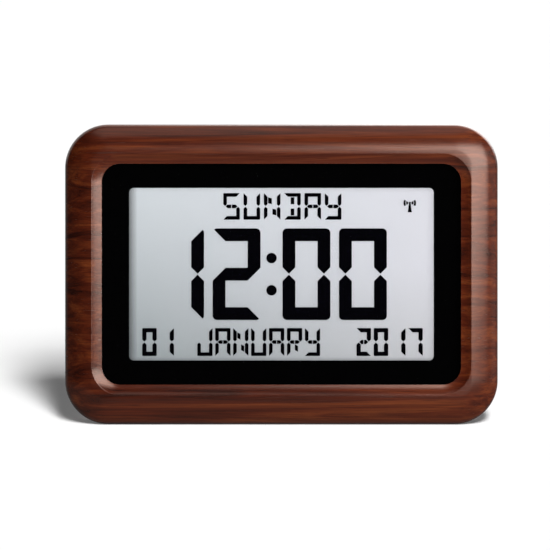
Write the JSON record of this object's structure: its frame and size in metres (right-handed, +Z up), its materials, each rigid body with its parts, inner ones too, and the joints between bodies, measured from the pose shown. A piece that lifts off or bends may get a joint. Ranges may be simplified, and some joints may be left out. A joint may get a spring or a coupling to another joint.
{
  "type": "radio-controlled clock",
  "caption": "Radio-controlled calendar clock: liquid-crystal display in a moulded wooden frame, with a rear easel leg, battery bay and setting buttons.",
  "frame": {"origin": "middle of the flat underside of the wooden frame, on the table", "axes": "+X to the right of the face, +Y back from the face, +Z up; the face leans back"},
  "size_m": [0.26, 0.074, 0.1775],
  "materials": {
    "wood": "dark red-brown lacquered wood",
    "window_clear": "clear polished plastic",
    "print_black": "black print seen through the window",
    "foam": "soft black foam",
    "tape": "double-sided tape",
    "polariser": "clear film",
    "display_glass": "thin glass",
    "seal": "resin seal",
    "display_ink": "dark display bars",
    "reflector": "pale grey reflecting film",
    "tray_white": "moulded white plastic",
    "steel": "zinc-plated screws",
    "zebra": "striped conductive rubber",
    "board_green": "green solder mask",
    "resin_black": "black resin",
    "switch_black": "black switch body",
    "pin_gold": "gilt pins",
    "ferrite": "dark ferrite",
    "copper": "lacquered copper wire",
    "cover_black": "fine-textured black plastic",
    "button_grey": "dark grey moulded plastic",
    "cell_skin": "plain sleeve over steel",
    "nickel": "nickel-plated spring steel",
    "lead_red": "red wire sleeve",
    "lead_black": "black wire sleeve",
    "pad_rubber": "soft black rubber"
  },
  "bodies": {
    "clock_body": {"front_frame": "wood", "window_tape": "tape", "display_window": "window_clear", "window_mask": "print_black", "display_gasket": "foam", "front_polariser": "polariser", "front_glass": "display_glass", "cell_seal": "seal", "time_bars": "display_ink", "calendar_bars": "display_ink", "signal_icon": "display_ink", "rear_glass": "display_glass", "reflector_film": "reflector", "display_tray": "tray_white", "tray_screws": "steel", "zebra_strip_top": "zebra", "zebra_strip_bottom": "zebra", "main_board": "board_green", "board_screws": "steel", "clock_chip": "resin_black", "quartz_crystal": "nickel", "button_switches": "switch_black", "receiver_board": "board_green", "receiver_chip": "resin_black", "receiver_pins": "pin_gold", "ferrite_rod": "ferrite", "antenna_coil": "copper", "antenna_holder": "tray_white", "antenna_leads": "copper", "rear_cover": "cover_black", "case_screws": "steel", "battery_cell_left": "cell_skin", "battery_cell_right": "cell_skin", "battery_springs": "nickel", "battery_contacts": "nickel", "battery_lead_red": "lead_red", "battery_lead_black": "lead_black", "leg_hinge_pin": "steel"},
    "leg": {"easel_leg": "cover_black", "leg_pads": "pad_rubber"},
    "door": {"battery_door": "cover_black"},
    "mode_button": {"mode_button": "button_grey"},
    "wave_button": {"wave_button": "button_grey"},
    "set_button": {"set_button": "button_grey"},
    "up_button": {"up_button": "button_grey"},
    "down_button": {"down_button": "button_grey"},
    "reset_button": {"reset_button": "button_grey"}
  },
  "joints": [
    {"name": "leg_fold", "type": "hinge", "parent": "clock_body", "child": "leg", "pos_m": [0, 0.03175, 0.09478], "axis": [1, 0, 0], "range_deg": [-25, 0]},
    {"name": "door_slide", "type": "slide", "parent": "clock_body", "child": "door", "axis": [1, 0, 0], "range_m": [0, 0.055]},
    {"name": "mode_press", "type": "slide", "parent": "clock_body", "child": "mode_button", "axis": [0, -0.9848, 0.1736], "range_m": [0, 0.0006], "stiffness_N_per_m": 1500},
    {"name": "wave_press", "type": "slide", "parent": "clock_body", "child": "wave_button", "axis": [0, -0.9848, 0.1736], "range_m": [0, 0.0006], "stiffness_N_per_m": 1500},
    {"name": "set_press", "type": "slide", "parent": "clock_body", "child": "set_button", "axis": [0, -0.9848, 0.1736], "range_m": [0, 0.0006], "stiffness_N_per_m": 1500},
    {"name": "up_press", "type": "slide", "parent": "clock_body", "child": "up_button", "axis": [0, -0.9848, 0.1736], "range_m": [0, 0.0006], "stiffness_N_per_m": 1500},
    {"name": "down_press", "type": "slide", "parent": "clock_body", "child": "down_button", "axis": [0, -0.9848, 0.1736], "range_m": [0, 0.0006], "stiffness_N_per_m": 1500},
    {"name": "reset_press", "type": "slide", "parent": "clock_body", "child": "reset_button", "axis": [0, -0.9848, 0.1736], "range_m": [0, 0.0006], "stiffness_N_per_m": 1500}
  ]
}
